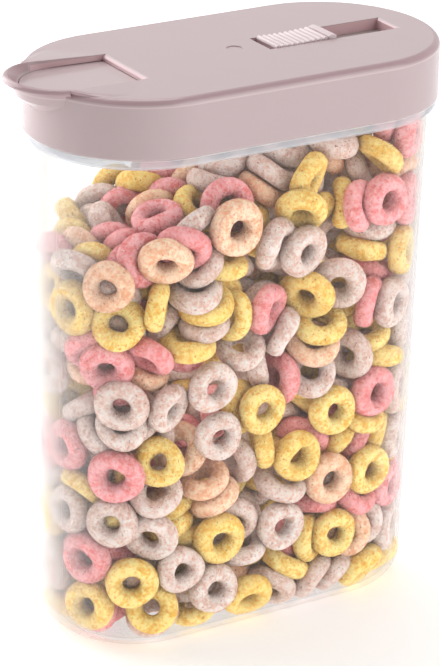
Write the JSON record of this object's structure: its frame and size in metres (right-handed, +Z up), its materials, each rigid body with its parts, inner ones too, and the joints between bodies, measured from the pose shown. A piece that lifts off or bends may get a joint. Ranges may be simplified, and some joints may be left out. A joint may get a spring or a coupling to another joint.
{
  "type": "cereal container",
  "caption": "Clear racetrack-plan cereal keeper with a press-on lid; a ribbed thumb slide in the lid draws back a flat gate that closes a raised pouring spout.",
  "frame": {"origin": "centre of the container's flat base", "axes": "+Z up; X across the width; the pouring spout points to -Y and the thumb slide lies at +Y"},
  "size_m": [0.082, 0.1711, 0.2166],
  "materials": {
    "clear_plastic": "clear, polished, slightly milky",
    "lid_plastic": "satin gloss",
    "guide_plastic": "satin",
    "gate_plastic": "satin gloss",
    "button_plastic": "satin gloss",
    "seal_rubber": "matt, translucent white"
  },
  "bodies": {
    "container": {"container_body": "clear_plastic"},
    "lid": {"lid_cap": "lid_plastic", "guide_plate": "guide_plastic", "lid_seal": "seal_rubber"},
    "slider": {"slide_gate": "gate_plastic", "thumb_button": "button_plastic"}
  },
  "joints": [
    {"name": "lid_lift", "type": "slide", "parent": "container", "child": "lid", "axis": [0, 0, 1], "range_m": [0, 0.04]},
    {"name": "gate_slide", "type": "slide", "parent": "lid", "child": "slider", "axis": [0, 1, 0], "range_m": [0, 0.0256]}
  ]
}
